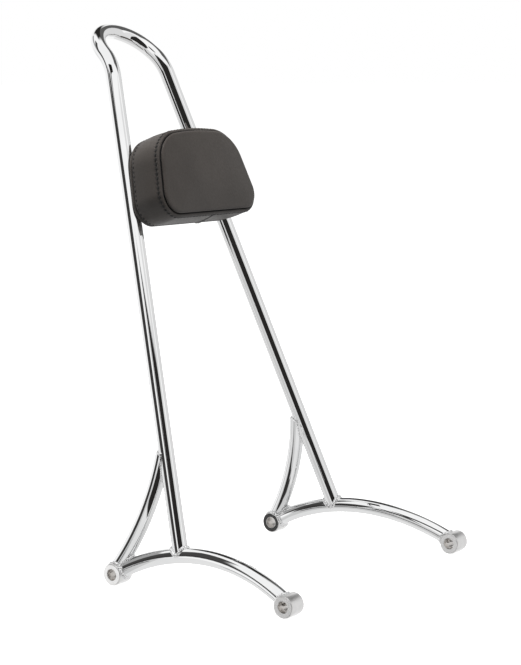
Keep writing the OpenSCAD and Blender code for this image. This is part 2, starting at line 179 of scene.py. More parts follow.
# Cameras see plain white, chrome sees the tent with its gaps, and soft light comes from all round
def buildWorld(settings, gaps):
    world = bpy.data.worlds.new("studioTent")
    scene.world = world
    world.use_nodes = True
    tree = world.node_tree
    tree.nodes.clear()
    direction = addNode(tree, "ShaderNodeTexCoord").outputs["Generated"]
    mask = buildGapMask()
    shade = None
    for azimuth, elevation, tilt, halfWidth, halfHeight, softness, strength in gaps.values():
        values = {"Direction": direction, "Half Width": halfWidth, "Half Height": halfHeight,
                  "Softness": softness, "Turn": tuple(map(math.radians, (tilt, -elevation, azimuth)))}
        gap = addNode(tree, "ShaderNodeGroup", values, node_tree=mask)
        dark = mathNode(tree, "MULTIPLY", gap.outputs["Mask"], strength)
        shade = dark if shade is None else mathNode(tree, "MAXIMUM", shade, dark)
    tent = blendColours(tree, shade, settings["white"], settings["darkColour"])
    rays = addNode(tree, "ShaderNodeLightPath").outputs
    mirrored = addNode(tree, "ShaderNodeBackground", {"Color": tent, "Strength": settings["tentLevel"]})
    plain = addNode(tree, "ShaderNodeBackground", {"Color": settings["white"], "Strength": 1.0})
    place = addNode(tree, "ShaderNodeVectorMath", {0: direction, 1: settings["fillAxis"]},
                    operation="DOT_PRODUCT").outputs["Value"]
    fill = mapRange(tree, place, settings["fillPlaces"], settings["fillRange"], "SMOOTHSTEP")
    soft = addNode(tree, "ShaderNodeBackground", {"Color": settings["white"], "Strength": fill})
    byGloss = addNode(tree, "ShaderNodeMixShader", {0: mathNode(
        tree, "MAXIMUM", rays["Is Glossy Ray"], rays["Is Transmission Ray"])})
    tree.links.new(soft.outputs[0], byGloss.inputs[1])
    tree.links.new(mirrored.outputs[0], byGloss.inputs[2])
    byCamera = addNode(tree, "ShaderNodeMixShader", {0: rays["Is Camera Ray"]})
    tree.links.new(byGloss.outputs[0], byCamera.inputs[1])
    tree.links.new(plain.outputs[0], byCamera.inputs[2])
    out = tree.nodes.new("ShaderNodeOutputWorld")
    tree.links.new(byCamera.outputs[0], out.inputs["Surface"])


def addFloor(settings):
    half = settings["floorSize"] / 2
    level = settings["floorLevel"]
    mesh = bpy.data.meshes.new("studioFloor")
    corners = [(-half, -half, level), (half, -half, level), (half, half, level), (-half, half, level)]
    mesh.from_pydata(corners, [], [(0, 1, 2, 3)])
    floor = bpy.data.objects.new("studioFloor", mesh)
    scene.collection.objects.link(floor)
    floor.visible_glossy = False
    material = bpy.data.materials.new("floorPaper")
    material.use_nodes = True
    tree = material.node_tree
    shader = tree.nodes["Principled BSDF"]
    shader.inputs["Base Color"].default_value = settings["floorColour"]
    shader.inputs["Roughness"].default_value = 1
    shader.inputs["Specular IOR Level"].default_value = 0
    rays = addNode(tree, "ShaderNodeLightPath").outputs
    glow = mathNode(tree, "MULTIPLY", rays["Is Camera Ray"], settings["floorGlow"])
    shader.inputs["Emission Color"].default_value = settings["white"]
    tree.links.new(glow, shader.inputs["Emission Strength"])
    mesh.materials.append(material)


# Two broad soft lamps; the pad needs them, and the chrome doesn't mirror them
lamps = {
    "keyLamp": {"azimuth": -5, "elevation": 72, "away": 2.6, "size": 1.4, "watts": 104},
    "topLamp": {"azimuth": -172, "elevation": 62, "away": 2.6, "size": 1.2, "watts": 130},
}
lampAim = Vector((0.0, 0.0, 0.3))


def addLamps(settings, aim):
    for name, lamp in settings.items():
        turn, rise = math.radians(lamp["azimuth"]), math.radians(lamp["elevation"])
        way = Vector((math.cos(rise) * math.cos(turn), math.cos(rise) * math.sin(turn), math.sin(rise)))
        light = bpy.data.lights.new(name, "AREA")
        light.shape = "DISK"
        light.size = lamp["size"]
        light.energy = lamp["watts"]
        holder = bpy.data.objects.new(name, light)
        scene.collection.objects.link(holder)
        holder.location = aim + way * lamp["away"]
        holder.rotation_euler = way.to_track_quat("Z", "Y").to_euler()
        holder.visible_glossy = False
        holder.visible_camera = False


buildWorld(studio, tentGaps)
addFloor(studio)
addLamps(lamps, lampAim)
scene.view_settings.view_transform = "Standard"
print("studio ready")


# Uneven tone of a plated or moulded face: a broad value and a fine one
def buildMottle():
    inputs = [("Broad Scale", "NodeSocketFloat", 30), ("Fine Scale", "NodeSocketFloat", 400)]
    outputs = [("Broad", "NodeSocketFloat"), ("Fine", "NodeSocketFloat")]
    tree, source, sink = newGroup("surfaceMottle", "ShaderNodeTree", inputs, outputs)
    place = addNode(tree, "ShaderNodeTexCoord").outputs["Object"]
    for label, detail in (("Broad", 2), ("Fine", 4)):
        values = {"Vector": place, "Scale": source.outputs[label + " Scale"], "Detail": detail}
        tone = addNode(tree, "ShaderNodeTexNoise", values).outputs["Fac"]
        tree.links.new(tone, sink.inputs[label])
    return tree


mottle = buildMottle()
noiseMiddle = (0.25, 0.75)  # where most values of a noise lie


# A material whose colour and roughness wander between their two ends; its colour is still to be linked
def mottledMaterial(name, settings, sockets):
    material = bpy.data.materials.new(name)
    material.use_nodes = True
    tree = material.node_tree
    shader = tree.nodes["Principled BSDF"]
    for key, value in sockets.items():
        shader.inputs[key].default_value = value
    values = {"Broad Scale": settings["broad"], "Fine Scale": settings["fine"]}
    tone = addNode(tree, "ShaderNodeGroup", values, node_tree=mottle).outputs
    share = mapRange(tree, tone["Broad"], noiseMiddle, (0, 1))
    colour = blendColours(tree, share, *settings["tones"])
    rough = mapRange(tree, tone["Fine"], noiseMiddle, settings["rough"])
    tree.links.new(rough, shader.inputs["Roughness"])
    return material, tree, shader, colour, tone["Fine"]


def addBump(tree, shader, height, strength, distance):
    values = {"Height": height, "Strength": strength, "Distance": distance}
    bump = addNode(tree, "ShaderNodeBump", values)
    tree.links.new(bump.outputs["Normal"], shader.inputs["Normal"])


# Each finish: the two ends of its colour, of its roughness, the scales of its mottle, and strength and
# depth of its bumps
metals = {
    "chromePlate": {
        "tones": ((0.93, 0.93, 0.93, 1), (0.86, 0.865, 0.87, 1)), "rough": (0.01, 0.028),
        "broad": 26, "fine": 260, "bump": (0.05, 0.00005),
    },
    "chromeWeld": {
        "tones": ((0.97, 0.97, 0.97, 1), (0.88, 0.88, 0.885, 1)), "rough": (0.015, 0.05),
        "broad": 160, "fine": 300, "bump": (1.0, 0.0012),
    },
    "turnedFace": {
        "tones": ((0.97, 0.965, 0.96, 1), (0.88, 0.875, 0.87, 1)), "rough": (0.07, 0.14),
        "broad": 200, "fine": 1600, "bump": (0.15, 0.00005),
    },
    "turnedBarrel": {
        "tones": ((0.96, 0.955, 0.95, 1), (0.86, 0.855, 0.85, 1)), "rough": (0.32, 0.44),
        "broad": 160, "fine": 1400, "bump": (0.12, 0.00005),
    },
    "boredSteel": {
        "tones": ((0.86, 0.84, 0.82, 1), (0.70, 0.675, 0.65, 1)), "rough": (0.22, 0.34),
        "broad": 120, "fine": 1500, "bump": (0.2, 0.00006),
    },
    "zincPlate": {
        "tones": ((0.66, 0.66, 0.65, 1), (0.48, 0.48, 0.475, 1)), "rough": (0.26, 0.42),
        "broad": 140, "fine": 1400, "bump": (0.12, 0.00005),
    },
}
plastics = {
    "stitchThread": {
        "tones": ((0.003, 0.003, 0.003, 1), (0.008, 0.0075, 0.007, 1)), "rough": (0.6, 0.8),
        "broad": 500, "fine": 3000, "bump": (0.5, 0.0001),
    },
    "boardPlastic": {
        "tones": ((0.012, 0.012, 0.012, 1), (0.022, 0.022, 0.022, 1)), "rough": (0.5, 0.66),
        "broad": 60, "fine": 1500, "bump": (0.3, 0.00015),
    },
}


def plainFinish(name, settings, sockets):
    material, tree, shader, colour, height = mottledMaterial(name, settings, sockets)
    tree.links.new(colour, shader.inputs["Base Color"])
    addBump(tree, shader, height, *settings["bump"])
    return material


finishes = {name: plainFinish(name, settings, {"Metallic": 1.0}) for name, settings in metals.items()}
finishes.update({name: plainFinish(name, settings, {}) for name, settings in plastics.items()})

vinyl = {
    "tones": ((0.0225, 0.0188, 0.0163, 1), (0.032, 0.027, 0.0236, 1)),
    # The colour of the painted shade in the seam grooves, at the stitches and along the join
    "creaseShade": (0.004, 0.0035, 0.0035, 1),
    "rough": (0.44, 0.58),
    "broad": 22,
    "fine": 420,
    "sockets": {"Specular IOR Level": 0.4, "Sheen Weight": 0.04, "Sheen Roughness": 0.5},
    "warpScale": 300,
    "warpDetail": 2,
    "warp": 0.0011,
    "grainScale": 950,
    "grainSmooth": 0.4,
    "grainBump": (0.35, 0.00022),
}


# Fine pebbled vinyl: rounded cells with soft valleys, broad tone changes, and painted shade darkening the
# seams' grooves, the stitch pinches and the join
def vinylFinish(settings):
    material, tree, shader, colour = mottledMaterial("paddedVinyl", settings, settings["sockets"])[:4]
    place = addNode(tree, "ShaderNodeTexCoord").outputs["Object"]
    values = {"Vector": place, "Scale": settings["warpScale"], "Detail": settings["warpDetail"]}
    warp = addNode(tree, "ShaderNodeTexNoise", values).outputs["Color"]
    moved = addNode(tree, "ShaderNodeVectorMath", {0: warp, 1: (settings["warp"],) * 3, 2: place},
                    operation="MULTIPLY_ADD").outputs[0]
    values = {"Vector": moved, "Scale": settings["grainScale"], "Smoothness": settings["grainSmooth"]}
    cells = addNode(tree, "ShaderNodeTexVoronoi", values, feature="SMOOTH_F1").outputs["Distance"]
    pebble = mathNode(tree, "SUBTRACT", 1.0, mathNode(tree, "MULTIPLY", cells, cells))
    # Painted shade: this attribute darkens the colour in the grooves, at the stitch pinches and along the
    # join
    creaseShade = addNode(tree, "ShaderNodeAttribute", attribute_name="creaseShade").outputs["Fac"]
    tree.links.new(blendColours(tree, creaseShade, colour, settings["creaseShade"]), shader.inputs["Base Color"])
    addBump(tree, shader, pebble, *settings["grainBump"])
    return material


finishes["paddedVinyl"] = vinylFinish(vinyl)
print("finishes ready")

# The part's own lines, as the solids have them, in metres
tube = {
    "radius": 0.00795, "sides": 48, "arcStepDegrees": 2.4, "lineStep": 0.02, "endRings": 16,
    "sink": 0.0002,  # how far a fitted end goes into what it meets
    "sharpDegrees": 40,
}
armShape = {
    "rearBoss": (0, 0.137, 0), "frontBoss": (0.22, 0.1505, 0), "bendRadius": 0.215, "cantDegrees": 14,
    "fitted": 0.022,  # the length over which an end is fitted
}
hoopShape = {
    "footAlong": 0.0796, "leanDegrees": 17, "legLength": 0.496, "kickRadius": 0.05, "kickDegrees": 32,
    "grip": 0.004, "archRadius": 0.0394, "fitted": 0.02,
}
braceShape = {
    "up": 0.1135, "setBack": 0.005, "bendRadius": 0.272, "short": 0.011, "fitted": 0.042,
    "plug": 0.0005,  # how far inside its low end the point lies that closes it
}
bossShape = {
    "radius": 0.011, "half": 0.01, "bore": 0.00575, "edge": 0.0008, "boreEdge": 0.0003, "land": 0.0002,
    "sides": 96, "sharpDegrees": 50,
}
left = Vector((0, 1, 0))


def flipped(point):
    return Vector((point.x, -point.y, point.z))


def squareTo(way, axis):
    return (way - way.dot(axis) * axis).normalized()


# A stretch of centre line: slide moves a point of its surface along it by a length
def lineRun(start, way, length):
    return {"start": start, "way": way, "length": length, "bend": 0.0, "slide": lambda p, d: p + way * d}


def arcRun(centre, axis, start, length):
    radius = (start - centre).length

    def slide(point, distance):
        return centre + Matrix.Rotation(distance / radius, 3, axis) @ (point - centre)

    way = axis.cross(start - centre).normalized()
    return {"start": start, "way": way, "length": length, "bend": radius, "slide": slide}


# What a tube end is fitted to: the nearest point on the centre line, and the radius
def lineHost(start, way, radius):
    return {"nearest": lambda p: start + way * (p - start).dot(way), "radius": radius}


def arcHost(centre, axis, bendRadius, radius):
    return {"nearest": lambda p: centre + bendRadius * squareTo(p - centre, axis), "radius": radius}


def armLine(shape):
    rear, front = Vector(shape["rearBoss"]), Vector(shape["frontBoss"])
    cant = math.radians(shape["cantDegrees"])
    along = (front - rear).normalized()
    up = squareTo(Vector((0, -math.sin(cant), math.cos(cant))), along)
    half = math.asin((front - rear).length / 2 / shape["bendRadius"])
    centre = (rear + front) / 2 - shape["bendRadius"] * math.cos(half) * up
    axis = up.cross(along)
    return {
        "rear": rear, "front": front, "along": along, "up": up, "half": half, "centre": centre, "axis": axis,
        "run": arcRun(centre, axis, rear, 2 * half * shape["bendRadius"]),
        "back": arcRun(centre, -axis, front, 2 * half * shape["bendRadius"]),
        "host": arcHost(centre, axis, shape["bendRadius"], tube["radius"]),
    }


arm = armLine(armShape)


def hoopLine(shape):
    chord = (arm["front"] - arm["rear"]).length
    place = math.asin((shape["footAlong"] - chord / 2) / armShape["bendRadius"])
    rise = math.sin(place) * arm["along"] + math.cos(place) * arm["up"]
    foot = arm["centre"] + armShape["bendRadius"] * rise
    lean, kick = math.radians(shape["leanDegrees"]), math.radians(shape["kickDegrees"])
    leanUp = Vector((-math.sin(lean), 0, math.cos(lean)))
    leanOut = Vector((math.cos(lean), 0, math.sin(lean)))
    origin = Vector((foot.x, 0, foot.z))
    archRadius = shape["archRadius"]
    taper = 0.0
    for step in range(8):  # taper and kick depend on each other, and settle in a few rounds
        kickTurn = math.acos(math.cos(taper) ** 2 * math.cos(kick) + math.sin(taper) ** 2)
        kickRun = 2 * shape["kickRadius"] * math.tan(kickTurn / 2)
        run = shape["legLength"] + kickRun + shape["grip"]
        taper = math.asin(foot.y / math.hypot(run, archRadius)) - math.atan2(archRadius, run)

    def toWorld(way):
        return way.x * left + way.y * leanUp + way.z * leanOut

    legWay = toWorld(Vector((-math.sin(taper), math.cos(taper), 0)))
    kickWay = toWorld(Vector((-math.sin(taper), math.cos(taper) * math.cos(kick),
                              -math.cos(taper) * math.sin(kick))))
    kickStart = foot + shape["legLength"] * legWay
    kickEnd = kickStart + kickRun / 2 * (legWay + kickWay)
    kickAxis = legWay.cross(kickWay).normalized()
    kickCentre = kickStart + shape["kickRadius"] * kickAxis.cross(legWay)
    archAxis = kickWay.cross(-left).normalized()
    archStart = kickEnd + shape["grip"] * kickWay
    archCentre = archStart + archRadius * archAxis.cross(kickWay)
    halfArch = math.pi / 2 - taper
    return {
        "foot": foot, "leanUp": leanUp, "leanOut": leanOut, "origin": origin,
        "taper": taper, "legWay": legWay,
        "runs": [
            lineRun(foot, legWay, shape["legLength"]),
            arcRun(kickCentre, kickAxis, kickStart, kickTurn * shape["kickRadius"]),
            lineRun(kickEnd, kickWay, shape["grip"]),
            arcRun(archCentre, archAxis, archStart, halfArch * archRadius),
        ],
        "host": lineHost(foot, legWay, tube["radius"]),
    }


hoop = hoopLine(hoopShape)


def braceLine(shape):
    low = arm["rear"] - Vector((shape["setBack"], 0, 0))
    high = hoop["foot"] + shape["up"] * hoop["legWay"]
    radius = shape["bendRadius"]
    along = (high - low).normalized()
    back = squareTo(Vector((-1, 0, 0)), along)
    half = math.asin((high - low).length / 2 / radius)
    centre = (low + high) / 2 + radius * math.cos(half) * back
    axis = (-back).cross(along)
    first, last = -half + shape["setBack"] / radius, half - shape["short"] / radius

    def at(turn):
        return centre + radius * (math.sin(turn) * along - math.cos(turn) * back)

    length = (last - first) * radius
    return {
        "run": arcRun(centre, axis, at(first), length),
        "back": arcRun(centre, -axis, at(last), length),
    }


brace = braceLine(braceShape)
rearBossHost = lineHost(arm["rear"], left, bossShape["radius"])
frontBossHost = lineHost(arm["front"], left, bossShape["radius"])


# A point in the hoop's own leaning plane, from between its feet
def leanPoint(across, up, out):
    return hoop["origin"] + across * left + up * hoop["leanUp"] + out * hoop["leanOut"]


def newPiece(name, mesh):
    piece = bpy.data.objects.new(name, mesh)
    scene.collection.objects.link(piece)
    return piece


# Runs a node tree on a mesh and keeps what comes out as a plain mesh
def grow(name, sourceMesh, tree, values):
    carrier = newPiece(name + "Source", sourceMesh)
    modifier = carrier.modifiers.new("build", "NODES")
    modifier.node_group = tree
    for item in tree.interface.items_tree:
        if item.item_type == "SOCKET" and item.in_out == "INPUT" and item.name in values:
            modifier[item.identifier] = values[item.name]
    bpy.context.view_layer.update()
    depsgraph = bpy.context.evaluated_depsgraph_get()
    mesh = bpy.data.meshes.new_from_object(carrier.evaluated_get(depsgraph), depsgraph=depsgraph,
                                           preserve_all_data_layers=True)
    mesh.name = name
    bpy.data.objects.remove(carrier)
    return newPiece(name, mesh)


def faceOut(mesh):
    shape = bmesh.new()
    shape.from_mesh(mesh)
    bmesh.ops.recalc_face_normals(shape, faces=shape.faces)
    shape.to_mesh(mesh)
    shape.free()


def mirrorPiece(piece, name):
    mesh = piece.data.copy()
    mesh.name = name
    mesh.transform(Matrix.Scale(-1, 4, left))
    mesh.flip_normals()
    return newPiece(name, mesh)


def settle(piece, *nodes, finish="chrome"):
    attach(piece, "root")
    if nodes:
        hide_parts(*nodes)


# Every piece's tree ends alike: smooth faces, real instances, the finish
def endTree(tree, geometry, source, target):
    smooth = addNode(tree, "GeometryNodeSetShadeSmooth", {"Geometry": geometry}).outputs[0]
    real = addNode(tree, "GeometryNodeRealizeInstances", {"Geometry": smooth}).outputs[0]
    done = addNode(tree, "GeometryNodeSetMaterial", {"Geometry": real, "Material": source.outputs["Finish"]})
    tree.links.new(done.outputs["Geometry"], target)


def buildTubeTree():
    inputs = [
        ("Path", "NodeSocketGeometry", None),
        ("Tube Radius", "NodeSocketFloat", tube["radius"]),
        ("Tube Sides", "NodeSocketInt", tube["sides"]),
        ("Finish", "NodeSocketMaterial", None),
    ]
    tree, source, sink = newGroup("bentTube", "GeometryNodeTree", inputs, [("Tube", "NodeSocketGeometry")])
    line = addNode(tree, "GeometryNodeMeshToCurve", {"Mesh": source.outputs["Path"]})
    ring = addNode(tree, "GeometryNodeCurvePrimitiveCircle",
                   {"Resolution": source.outputs["Tube Sides"], "Radius": source.outputs["Tube Radius"]})
    skin = addNode(tree, "GeometryNodeCurveToMesh",
                   {"Curve": line.outputs["Curve"], "Profile Curve": ring.outputs["Curve"]})
    endTree(tree, skin.outputs["Mesh"], source, sink.inputs["Tube"])
    return tree


tubeTree = buildTubeTree()


# How far each ring lies along the runs, with closer rings in the stretches that get fitted ends
def ringPlaces(runs, fittedLength, fitEnd):
    total = sum(run["length"] for run in runs)
    apart = 0.001  # no plain ring lies closer to the fitted ones
    places, passed = [], 0.0
    for run in runs:
        step = math.radians(tube["arcStepDegrees"]) * run["bend"] if run["bend"] else tube["lineStep"]
        count = max(1, math.ceil(run["length"] / step))
        places += [passed + run["length"] * k / count for k in range(count)]
        passed += run["length"]
    places.append(total)
    rings = tube["endRings"]
    places = [place for place in places if place > fittedLength + apart]
    places = [fittedLength * k / rings for k in range(rings + 1)] + places
    if fitEnd:
        places = [place for place in places if place < total - fittedLength - apart]
        places += [total - fittedLength * (rings - k) / rings for k in range(rings + 1)]
    return places


def pathPoint(runs, place):
    for run in runs[:-1]:
        if place <= run["length"]:
            return run["slide"](run["start"], place)
        place -= run["length"]
    return runs[-1]["slide"](runs[-1]["start"], place)


def depthIn(hosts, point):
    return max(host["radius"] - (point - host["nearest"](point)).length for host in hosts)


# Slides a point out of the hosts along its run, and returns how far it went
def wayOut(run, hosts, point, limit):
    sink = tube["sink"]
    if depthIn(hosts, point) <= sink:
        return 0.0
    low, high = 0.0, limit
    for step in range(24):
        middle = (low + high) / 2
        if depthIn(hosts, run["slide"](point, middle)) > sink:
            low = middle
        else:
            high = middle
    return high


# Fits one end of a swept tube to its hosts: every column of the end rings is slid clear of them.
# It returns the end's ring and the point that closes it
def fitEnd(mesh, run, hosts, ringIndex, fittedLength, plugPoint):
    sides, rings = tube["sides"], tube["endRings"]
    for column in range(sides):
        anchor = mesh.vertices[ringIndex(rings) * sides + column].co.copy()
        start = run["slide"](anchor, -fittedLength)
        out = wayOut(run, hosts, start, fittedLength)
        for ring in range(rings):
            place = out + (fittedLength - out) * ring / rings
            mesh.vertices[ringIndex(ring) * sides + column].co = run["slide"](start, place)
    return ringIndex(0), plugPoint


# Closes the swept tube's ends with a fan to a point inside what they are fitted to
def closeEnds(mesh, ends):
    shape = bmesh.new()
    shape.from_mesh(mesh)
    corners = list(shape.verts)
    sides = tube["sides"]
    for ring, point in ends:
        hub = shape.verts.new(point)
        for column in range(sides):
            pair = [corners[ring * sides + column], corners[ring * sides + (column + 1) % sides]]
            shape.faces.new(pair + [hub]).smooth = True
    bmesh.ops.recalc_face_normals(shape, faces=shape.faces)
    shape.to_mesh(mesh)
    shape.free()
    mesh.set_sharp_from_angle(angle=math.radians(tube["sharpDegrees"]))


def sweepTube(name, points):
    mesh = bpy.data.meshes.new(name + "Path")
    mesh.from_pydata([tuple(p) for p in points], [(k, k + 1) for k in range(len(points) - 1)], [])
    values = {"Tube Radius": tube["radius"], "Tube Sides": tube["sides"], "Finish": finishes["chromePlate"]}
    return grow(name, mesh, tubeTree, values)


# A bent tube with both ends fitted: each end is (hosts, the point that closes it)
def bendTube(name, line, fitted, start, end):
    run, back = line["run"], line["back"]
    places = ringPlaces([run], fitted, True)
    last = len(places) - 1
    piece = sweepTube(name, [pathPoint([run], place) for place in places])
    closeEnds(piece.data, [fitEnd(piece.data, run, start[0], lambda k: k, fitted, start[1]),
                           fitEnd(piece.data, back, end[0], lambda k: last - k, fitted, end[1])])
    return piece


def makeArm():
    return bendTube("armTubeLeft", arm, armShape["fitted"], ([rearBossHost], arm["rear"]),
                    ([frontBossHost], arm["front"]))


def makeBrace():
    run, back = brace["run"], brace["back"]
    inside = run["slide"](run["start"], braceShape["plug"])
    return bendTube("braceTubeLeft", brace, braceShape["fitted"], ([rearBossHost, arm["host"]], inside),
                    ([hoop["host"]], back["start"]))


def makeHoop():
    fitted = hoopShape["fitted"]
    places = ringPlaces(hoop["runs"], fitted, False)
    half = [pathPoint(hoop["runs"], place) for place in places]
    points = half + [flipped(p) for p in reversed(half[:-1])]
    piece = sweepTube("hoopTube", points)
    last = len(points) - 1
    otherArm = {"nearest": lambda p: flipped(arm["host"]["nearest"](flipped(p))), "radius": tube["radius"]}
    otherFoot = flipped(hoop["foot"])
    otherRun = lineRun(otherFoot, flipped(hoop["legWay"]), hoopShape["legLength"])
    closeEnds(piece.data, [
        fitEnd(piece.data, hoop["runs"][0], [arm["host"]], lambda k: k, fitted, hoop["foot"]),
        fitEnd(piece.data, otherRun, [otherArm], lambda k: last - k, fitted, otherFoot),
    ])
    return piece


armLeft = makeArm()
settle(armLeft, "arm_left")
settle(mirrorPiece(armLeft, "armTubeRight"), "arm_right")
braceLeft = makeBrace()
settle(braceLeft, "brace_left")
settle(mirrorPiece(braceLeft, "braceTubeRight"), "brace_right")
settle(makeHoop(), "hoop_tube")
print("tubes bent and fitted")


# Half section of a boss, from the bore out over one face, as (radius, place along the axis)
def bossSection(shape):
    edge, bore, boreEdge, land = shape["edge"], shape["bore"], shape["boreEdge"], shape["land"]
    radius, half = shape["radius"], shape["half"]
    corner = [(bore, half - boreEdge)]
    corner += [(bore + boreEdge * (1 - math.cos(a)), half - boreEdge * (1 - math.sin(a)))
               for a in (0.5, 1.05, math.pi / 2)]
    corner += [(bore + boreEdge + land, half), (radius - edge - land, half)]
    corner += [(radius - edge * (1 - math.sin(a)), half - edge * (1 - math.cos(a)))
               for a in (0, 0.4, 0.8, 1.2, math.pi / 2)]
    return corner + [(radius, -place) for radius, place in reversed(corner)]


# Bosses are turned, with a bright bore; face names the finish of the two flat ends
def makeBoss(name, centre, shape, face):
    section = bossSection(shape)
    sides = shape["sides"]
    points, faces = [], []
    for k in range(sides):
        a = 2 * math.pi * k / sides
        points += [centre + Vector((r * math.cos(a), y, r * math.sin(a))) for r, y in section]
    count = len(section)
    for k in range(sides):
        for j in range(count):
            here, there = k * count, (k + 1) % sides * count
            faces.append((here + j, here + (j + 1) % count, there + (j + 1) % count, there + j))
    mesh = bpy.data.meshes.new(name)
    mesh.from_pydata([tuple(p) for p in points], [], faces)
    for finish in ("turnedBarrel", face, "boredSteel"):
        mesh.materials.append(finishes[finish])
    flats = {3: 1, 4: 1, 5: 1, 15: 1, 16: 1, 17: 1, 21: 2}  # finish by place in the section, the bore last
    for index, polygon in enumerate(mesh.polygons):
        polygon.use_smooth = True
        polygon.material_index = flats.get(index % count, 0)
    faceOut(mesh)
    mesh.set_sharp_from_angle(angle=math.radians(shape["sharpDegrees"]))
    return newPiece(name, mesh)


for label, centre in (("rear", arm["rear"]), ("front", arm["front"])):
    for side, factor in (("left", 1), ("right", -1)):
        place = Vector((centre.x, centre.y * factor, centre.z))
        face = "chromePlate" if (label, side) == ("rear", "left") else "turnedFace"
        boss = makeBoss(label + side.capitalize() + "Boss", place, bossShape, face)
        settle(boss, f"boss_{label}_{side}")
print("bosses turned")

weld = {
    "toe": 0.0026,  # how far a bead reaches over each surface
    "bluntToe": 0.9,  # how much further where the surfaces turn away from each other
    "leastToe": 0.0005,
    "sideLean": 0.22,
    "bulge": 0.0007,  # over a corner, and where the surfaces are nearly flush
    "flushBulge": 0.0016,
    "press": 0.00006,  # how deep the toes are pressed in
    "root": (0.001, 0.0008),  # how far under the host and under the tube the closing point lies
    "openGap": 0.0006,  # from this gap on a bead sinks in, over the span after it, to the place after that
    "openSpan": 0.002,
    "openPlace": (0.0012, 0.0004),
    "rows": 10,
    "columns": 264,
    "evenings": 6,
    "ripplePitch": 0.0024,
    "rippleHeight": 0.0006,
    "rippleNoise": 260,
    "beatDrift": 1.6,  # how much the noise shifts the beat, and lifts the bead
    "liftDrift": 1.8,
    "liftBase": 1.4,
    "frontToe": 0.0019,
    "frontRipple": 0.0002,
    "seed": 4,
}
plateWeld = {
    "low": 0.3480, "high": 0.3935, "plateHalf": 0.0015, "toe": 0.0021, "bulge": 0.0008, "columns": 120,
    "thinEnd": 0.25, "fadeRate": 6, "root": (0.0006, 0.0008),
}


# Ripples of a hand-laid bead: a wave along the seam with an uneven beat, fading out at both toes
def buildRippleTree():
    inputs = [
        ("Bead", "NodeSocketGeometry", None),
        ("Pitch", "NodeSocketFloat", weld["ripplePitch"]),
        ("Height", "NodeSocketFloat", weld["rippleHeight"]),
        ("Seed", "NodeSocketFloat", 0.0),
        ("Finish", "NodeSocketMaterial", None),
    ]
    tree, source, sink = newGroup("weldRipple", "GeometryNodeTree", inputs, [("Bead", "NodeSocketGeometry")])
    along = addNode(tree, "GeometryNodeInputNamedAttribute", {"Name": "along"}, data_type="FLOAT")
    window = addNode(tree, "GeometryNodeInputNamedAttribute", {"Name": "window"}, data_type="FLOAT")
    place = addNode(tree, "GeometryNodeInputPosition").outputs[0]
    values = {"Vector": place, "W": source.outputs["Seed"], "Scale": weld["rippleNoise"]}
    drift = addNode(tree, "ShaderNodeTexNoise", values, noise_dimensions="4D").outputs[0]
    beat = mathNode(tree, "DIVIDE", along.outputs["Attribute"], source.outputs["Pitch"])
    beat = mathNode(tree, "ADD", beat, mathNode(tree, "MULTIPLY", drift, weld["beatDrift"]))
    wave = mathNode(tree, "ABSOLUTE", mathNode(tree, "SINE", mathNode(tree, "MULTIPLY", beat, math.pi)))
    lift = mathNode(tree, "ADD", wave, mathNode(tree, "MULTIPLY", drift, weld["liftDrift"]))
    lift = mathNode(tree, "SUBTRACT", lift, weld["liftBase"])
    height = mathNode(tree, "MULTIPLY", window.outputs["Attribute"], source.outputs["Height"])
    lift = mathNode(tree, "MULTIPLY", lift, height)
    normal = addNode(tree, "GeometryNodeInputNormal").outputs[0]
    offset = addNode(tree, "ShaderNodeVectorMath", {0: normal, "Scale": lift}, operation="SCALE").outputs[0]
    moved = addNode(tree, "GeometryNodeSetPosition", {"Geometry": source.outputs["Bead"], "Offset": offset})
    endTree(tree, moved.outputs["Geometry"], source, sink.inputs["Bead"])
    return tree


rippleTree = buildRippleTree()


def onHost(host, point):
    middle = host["nearest"](point)
    return middle + (point - middle).normalized() * host["radius"]


# The bulging line of a bead from toe to toe, drawn towards a point above the corner
def bulgeLine(upper, hold, lower):
    shares = [k / weld["rows"] for k in range(weld["rows"] + 1)]
    return [(1 - t) ** 2 * upper + 2 * t * (1 - t) * hold + t * t * lower for t in shares]


# One section of the bead between a tube's surface and its host, from toe to toe, then a point inside.
# An open gap under the seat takes the bead down with it
def beadSection(seat, out, up, run, host, toe):
    middle = host["nearest"](seat)
    hostOut = (seat - middle).normalized()
    gap = max(0.0, (seat - middle).length - host["radius"])
    meet = out.dot(hostOut)
    reach = toe * (1 + weld["bluntToe"] * max(0.0, -meet))
    upper = run["slide"](seat, max(weld["leastToe"], reach - gap)) - out * weld["press"]
    side = squareTo(out - weld["sideLean"] * up, hostOut)
    base = onHost(host, middle + hostOut * host["radius"] + side * reach)
    lower = base - hostOut * weld["press"]
    lean = out + hostOut
    lean = lean.normalized() if lean.length > 0.05 else side
    bulge = weld["bulge"] + (weld["flushBulge"] - weld["bulge"]) * max(0.0, meet)
    hold = (upper + lower) / 2 + lean * 2 * bulge
    if gap > weld["openGap"]:
        share = min(1.0, (gap - weld["openGap"]) / weld["openSpan"])
        aside, above = weld["openPlace"]
        hold = hold.lerp(onHost(host, seat) + side * aside + hostOut * above, share)
    underHost, underTube = weld["root"]
    inside = middle + hostOut * (host["radius"] - underHost) - out * underTube
    return bulgeLine(upper, hold, lower) + [inside]


